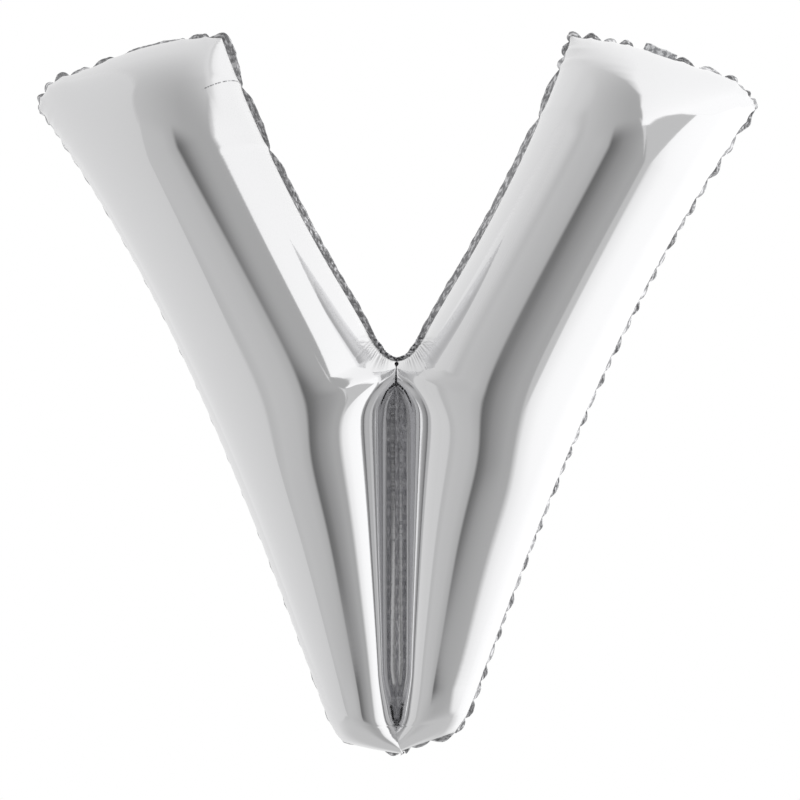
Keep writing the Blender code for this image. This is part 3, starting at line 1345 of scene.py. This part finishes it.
@dataclass
class ValveSleeve:
    """The clear sleeve of the filling valve, a flattened tube that ends past the seam."""

    slope: float = -22.0
    width: float = 0.043
    length: float = 0.014
    sunk: float = 0.0045
    aside: Pair = (-0.0072, -0.0066)
    taper: float = 0.05
    opening: float = 0.0022
    flare: float = 0.7
    gap_waver: Pair = (0.0007, 0.02)
    edge_waver: Pair = (0.08, 0.03)
    rows: int = 24
    columns: int = 60

    def build(self, finish: ClearFilm) -> bpy.types.Object:
        """Make the sleeve: two films that part towards the mouth, joined at their sides.

        The gap between them goes with the sine of the turn round the tube, times a power of
        the place along.

        Args:
            finish: The finish of the clear film.

        Returns:
            The new piece.
        """
        low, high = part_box("valve_sleeve")
        centre = np.array([(low[0] + high[0]) / 2, (low[2] + high[2]) / 2])
        slope = math.radians(self.slope)
        right = np.array([math.cos(slope), math.sin(slope)])
        up = np.array([-right[1], right[0]])
        start = centre - up * (self.length / 2 + self.sunk) + self.aside
        turn = np.linspace(0, 2 * math.pi, self.columns, endpoint=False)[None, :]
        along = np.linspace(0, 1, self.rows)[:, None]
        side = -0.5 * np.cos(turn) * self.width * (1 - self.taper * along)
        gap = self.opening * along**self.flare * np.sin(turn)
        gap = gap + along * waver(side, self.gap_waver, 3.0)
        edge = self.length * along * (1 + waver(side, self.edge_waver, 5.0))
        plan = start + side[..., None] * right + edge[..., None] * up
        grid = upright(plan, gap)
        grid = np.concatenate([grid, grid[:, :1]], axis=1)
        seam = np.stack(np.broadcast_arrays(np.linspace(0, 1, self.columns + 1), along), axis=-1)
        piece = new_piece("valve_film", sheet(grid, seam), finish.build())
        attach(piece, "root")
        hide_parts("valve_sleeve")
        return piece


@dataclass
class Studio:
    """A white room with soft light, which the film mirrors.

    Directions are unit vectors, with X to the right, Y away from the camera and Z up. All
    that lies more than about 45 degrees to the right is a bright window wall, and on the
    left and behind the letter the walls are pale. Across the room, behind the camera, is a
    grey wall with a dark opening that has a sharp left side. The ceiling over the letter
    takes the colours of the side walls. Each tone is a place and a linear grey.
    """

    floor_height: float = -0.66
    sweep_radius: float = 1.2
    sweep_back: float = 2.2
    sweep_reach: float = 9.0
    sweep_top: float = 8.0
    sensor: float = 36.0
    camera_x: float = 0.03
    distance: float = 1.70
    frame_width: float = 0.974
    centre: Pair = (0.0037, -0.0043)
    eaves: float = 0.62
    pale_slope: float = 1.1
    window_turn: float = 0.65
    opening: Pairs = (
        (-1.0, 0.53), (-0.72, 0.50), (-0.55, 0.57), (-0.25, 0.54), (-0.06, 0.46),
        (0.0, 0.145), (0.10, 0.20), (0.22, 0.29), (0.36, 0.35), (0.52, 0.42), (0.64, 0.42),
        (0.73, 0.90), (0.86, 1.06), (1.2, 1.20),
    )
    plain: Pairs = (
        (-1.0, 0.53), (-0.72, 0.50), (-0.55, 0.56), (-0.10, 0.48), (0.20, 0.43),
        (0.64, 0.42), (0.73, 0.90), (0.86, 1.06), (1.2, 1.20),
    )
    pale: Pairs = ((-1.0, 0.62), (-0.7, 0.65), (0.0, 0.72), (1.0, 0.84))
    floor_tone: float = 0.58
    floor_start: Pair = (-0.62, -0.92)
    opening_top: Pair = (0.12, 0.42)
    opening_foot: Pair = (-0.44, -0.60)
    window_edge: Pair = (0.72, 0.60)
    pale_start: float = 0.70
    pale_blur: tuple[float, float, float, float] = (0.35, 0.75, 0.06, 0.36)
    pale_behind: Pair = (-0.80, 0.40)
    reflector_edge: Pair = (-0.49, -0.39)
    reflector_back: Pair = (-0.90, 0.60)
    reflector_floor: float = -0.78
    reflector_soft: float = 0.09
    reflector_top: Pairs = (
        (-0.39, 0.45), (-0.37, 0.49), (-0.33, 0.61), (-0.28, 0.80), (-0.21, 0.875),
        (-0.13, 0.92), (0.155, 0.98), (0.60, 1.0),
    )
    reflector_tones: Pair = (0.66, 0.86)
    panel_rows: tuple[tuple[float, float, float, float], ...] = (
        (4.0, -0.45, 0.36, 4.0), (1.2, -0.25, 0.40, 4.0), (0.25, -0.12, 0.40, 4.0),
        (0.0, -0.02, 0.42, 4.0), (-0.11, 0.10, 0.42, 4.0), (-0.20, 0.20, 0.40, 4.0),
        (-0.30, 0.31, 0.42, 4.0), (-0.52, 0.48, 0.53, 4.0), (-0.82, 0.61, 0.64, 2.12),
        (-0.90, 0.66, 0.69, 1.68), (-1.11, 0.78, 0.81, 1.48), (-1.39, 0.93, 0.96, 1.43),
        (-1.88, 1.19, 1.21, 1.57),
    )
    panel_height: float = 0.85
    panel_soft: float = 0.16
    panel_tones: Pairs = ((0.2, 0.96), (1.4, 1.10))
    blind_distance: float = 4.0
    blind_top: Pairs = (
        (33, 18), (37, 20.5), (42, 22), (50, 22.5), (60, 21.5), (71, 16.5),
    )
    blind_foot: Pair = (44, -13)
    blind_tone: float = 0.58
    gap_top: Pairs = ((27.5, 26), (33.5, 19))
    gap_foot: Pair = (39, -5)
    gap_tone: float = 0.70

    def sky(self) -> None:
        """Light of the room by direction.

        The window wall starts where X passes a given value, sooner towards the back. The
        pale walls start where -X passes one, sooner over the eaves, or where Y is over 0.
        """
        graph = Graph(bpy.data.worlds.new("studio"))
        bpy.context.scene.world = graph.owner
        place = graph.add("ShaderNodeTexCoord"), "Generated"
        parts = graph.add("ShaderNodeSeparateXYZ", {0: place})
        x, y, z = ((parts, axis) for axis in "XYZ")
        lift = graph.maths("MAXIMUM", graph.maths("SUBTRACT", z, self.eaves), 0.0)
        right = graph.maths("MULTIPLY_ADD", graph.maths("MAXIMUM", y, 0.0), self.window_turn, x)
        left = graph.maths("MULTIPLY_ADD", lift, self.pale_slope, graph.maths("MULTIPLY", x, -1.0))
        over, under = graph.step(z, *self.opening_top), graph.step(z, *self.opening_foot)
        away = graph.maths("MAXIMUM", over, under)
        wall = graph.mix(away, graph.tones(self.opening, right), graph.tones(self.plain, right))
        low, high, sharp, soft = self.pale_blur
        blur = graph.add(
            "ShaderNodeMapRange",
            {"From Min": low, "From Max": high, "To Min": sharp, "To Max": soft, "Value": z},
        )
        past = graph.maths("SUBTRACT", left, self.pale_start)
        beside = graph.step(graph.maths("DIVIDE", past, (blur, "Result")), -0.5, 0.5)
        behind, edge = graph.step(y, *self.pale_behind), graph.step(right, *self.window_edge)
        either = graph.maths("MAXIMUM", beside, graph.maths("MULTIPLY", behind, edge))
        walls = graph.mix(either, wall, graph.tones(self.pale, y))
        room = graph.mix(graph.step(z, *self.floor_start), walls, self.floor_tone)
        light = graph.add("ShaderNodeBackground", {"Color": room})
        graph.add("ShaderNodeOutputWorld", {"Surface": (light, "Background")})

    @staticmethod
    def card(
        name: str, points: np.ndarray, veil: tuple[float, ...], tones: tuple, axis: str = ""
    ) -> None:
        """Add a matt card that only the film sees.

        Args:
            name: Name of the card.
            points: Grid of its corners.
            veil: How solid each column of the grid is, from 0 to 1.
            tones: Its grey, or place and grey of each stop along an axis, as linear values.
            axis: The axis along which its tone changes.
        """
        graph = Graph(bpy.data.materials.new(f"matt paper {name}"))
        grey = tones[0]
        if axis:
            place = graph.add("ShaderNodeTexCoord"), "Object"
            grey = graph.tones(tones, (graph.add("ShaderNodeSeparateXYZ", {0: place}), axis))
        light = graph.add("ShaderNodeEmission", {"Color": grey})
        clear = graph.add("ShaderNodeBsdfTransparent")
        parts = {0: graph.seam()[0], 1: (clear, "BSDF"), 2: (light, "Emission")}
        both = graph.add("ShaderNodeMixShader", parts)
        graph.add("ShaderNodeOutputMaterial", {"Surface": (both, "Shader")})
        solid = np.broadcast_to(np.array(veil)[:, None], (*points.shape[:2], 2))
        card = new_piece(name, sheet(points, solid), graph.owner)
        card.visible_camera = False
        card.visible_shadow = False

    def cards(self) -> None:
        """A pale board close to the left leg, a bright panel over the letter, and far off
        a grey blind in front of the window wall, with a strip of daylight beside it."""
        edge, back = np.array([self.reflector_edge, self.reflector_back])
        y, top = np.array(self.reflector_top).T
        x = edge[0] + (y - edge[1]) * (back[0] - edge[0]) / (back[1] - edge[1])
        levels = (np.full(len(y), self.reflector_floor), top - self.reflector_soft, top)
        points = np.stack([np.stack([x, y, z], axis=1) for z in levels], axis=1)
        tones = tuple(zip((edge[1], back[1]), self.reflector_tones))
        self.card("board", points, (1.0, 1.0, 0.0), tones, "Y")
        y, *sides = np.array(self.panel_rows).T
        level = np.full(len(y), self.panel_height)
        sides.insert(2, np.maximum(sides[2] - self.panel_soft, sides[1]))
        points = np.stack([np.stack([x, y, level], axis=1) for x in sides], axis=1)
        self.card("panel", points, (0.0, 1.0, 1.0, 0.0), self.panel_tones, "X")
        for name, top, foot, tone in (
            ("blind", self.blind_top, self.blind_foot, self.blind_tone),
            ("daylight strip", self.gap_top, self.gap_foot, self.gap_tone),
        ):
            turn, rise = np.moveaxis(np.radians(np.array([top, [foot] * len(top)])), -1, 0)
            level = np.cos(rise)
            ray = np.stack([level * np.sin(turn), -level * np.cos(turn), np.sin(rise)], axis=-1)
            self.card(name, ray * self.blind_distance, (1.0,) * len(top), (tone,))

    def backdrop(self) -> None:
        """A pale floor that sweeps up behind the letter. The room's light, not the sweep,
        is what the film mirrors."""
        turn = np.linspace(0, math.pi / 2, 24)
        radius, back, reach = self.sweep_radius, self.sweep_back, self.sweep_reach
        y = np.concatenate([[-reach], back + radius * np.sin(turn), [back + radius]])
        z = np.concatenate([[0.0], radius * (1 - np.cos(turn)), [self.sweep_top]])
        z = z + self.floor_height
        x = np.linspace(-reach, reach, 3)[:, None]
        points = np.stack(np.broadcast_arrays(x, y[None], z[None]), axis=-1)
        graph = Graph(bpy.data.materials.new("matt white paper"))
        paper = graph.add("ShaderNodeEmission", {"Color": linear("#FFFFFF"), "Strength": 1.0})
        graph.add("ShaderNodeOutputMaterial", {"Surface": (paper, "Emission")})
        piece = new_piece("paper_sweep", sheet(points, points[..., :2]), graph.owner)
        piece.visible_glossy = False
        piece.visible_shadow = False

    def camera(self) -> None:
        """A camera level with the letter's middle, a little to its right."""
        data = bpy.data.cameras.new("camera")
        data.sensor_width = self.sensor
        data.lens = self.sensor * self.distance / self.frame_width
        eye = bpy.data.objects.new("camera", data)
        bpy.context.scene.collection.objects.link(eye)
        eye.location = (self.camera_x, -self.distance, self.centre[1])
        data.shift_x = (self.centre[0] - self.camera_x) / self.frame_width
        eye.rotation_euler = (math.pi / 2, 0, 0)
        bpy.context.scene.camera = eye

    def build(self) -> None:
        """Set the room, the camera and a plain view of the light."""
        self.sky()
        self.cards()
        self.backdrop()
        self.camera()
        bpy.context.scene.view_settings.view_transform = "Standard"


def letter_legs(form: LegForm) -> tuple[Leg, Leg]:
    """The letter's two legs with their own pinches, left one first.

    Args:
        form: The form that both share.

    Returns:
        The legs.
    """
    left = Leg(
        Side.LEFT,
        form,
        top_pinches=(0.077, 0.19, 0.553, 0.69, 0.804, 0.889, 0.96),
        edge_pinches=(0.006, 0.024, 0.037, 0.058, 0.080),
        inner_pinches=(0.309, 0.393),
        seed=1.0,
    )
    right = Leg(
        Side.RIGHT,
        replace(
            form,
            top_bulge=0.0145,
            shoulder_bulge=0.0100,
            shoulder_share=0.16,
            foot_chord=(-0.409, form.foot_chord[1]),
        ),
        top_pinches=(0.0, 0.091, 0.20, 0.277, 0.369, 0.565, 0.694, 0.84, 0.92, 0.97),
        edge_pinches=(0.004, 0.022, 0.060, 0.093, 0.125, 0.152),
        inner_pinches=(0.353, 0.417, 0.434),
        lean=0.13,
        seed=2.0,
    )
    return left, right


def letter_margins() -> dict[Side, MarginShape]:
    """How this balloon's sealed margin stands along the seam of each leg.

    Returns:
        The margin's shape on each side.
    """
    return {
        Side.LEFT: MarginShape(
            inner=(
                (0.0, 0.0050, 0), (0.06, 0.0065, 0), (0.15, 0.0080, 0), (0.5, 0.0086, 6),
                (0.9, 0.0084, 5), (0.97, 0.0100, 0),
            ),
            top=(
                (0.0, 0.0110, 0), (0.05, 0.0090, 0), (0.09, 0.0078, 10), (0.2, 0.0066, 10),
                (0.5, 0.0068, 5), (0.6, 0.0080, 5), (0.85, 0.0074, 10), (0.95, 0.0062, 20),
            ),
            outer=(
                (0.0, 0.0052, 30), (0.012, 0.0036, 45), (0.05, 0.0050, 72), (1.07, 0.0048, 72),
                (1.085, 0.0062, 15),
            ),
        ),
        Side.RIGHT: MarginShape(
            inner=(
                (0.0, 0.0050, 0), (0.06, 0.0065, 0), (0.15, 0.0080, 0), (0.5, 0.0086, 12),
                (0.8, 0.0086, 30), (0.95, 0.0080, 30),
            ),
            top=(
                (0.0, 0.0068, 10), (0.35, 0.0076, 5), (0.385, 0.0030, 5), (0.55, 0.0030, 5),
                (0.585, 0.0080, 5), (0.8, 0.0080, 10), (0.95, 0.0064, 20),
            ),
            outer=((0.0, 0.0058, 20), (0.1, 0.0066, 30), (0.9, 0.0066, 38), (1.0, 0.0070, 20)),
        ),
    }


def main() -> None:
    """Build the balloon and its room."""
    logging.basicConfig(level=logging.INFO, format="%(name)s: %(message)s")
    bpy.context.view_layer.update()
    form = LegForm()
    legs = letter_legs(form)
    envelope = Envelope(legs)
    front = envelope.build(Face.FRONT, MirrorFilm("metallised polyester film, front"))
    back = envelope.build(Face.BACK, MirrorFilm("metallised polyester film, back"))
    margin = SealedMargin(legs, letter_margins()).build(SealedFilm("heat-sealed film margin"))
    # The strip's grey is partly its sealed look and partly painted shade of the groove between the
    # legs; its paler streaks are painted reflection.
    weld = CentreWeld(form).build(
        SealedFilm("crimped film strip", colour="#ACACB0", pale="#D0D0D3", height=0.0005)
    )
    valve = ValveSleeve().build(ClearFilm("milky polyethylene film"))
    for piece in (front, back, margin, weld, valve):
        LOG.info("%s: %d faces", piece.name, len(piece.data.polygons))
    Studio().build()


if __name__ == "__main__":
    main()
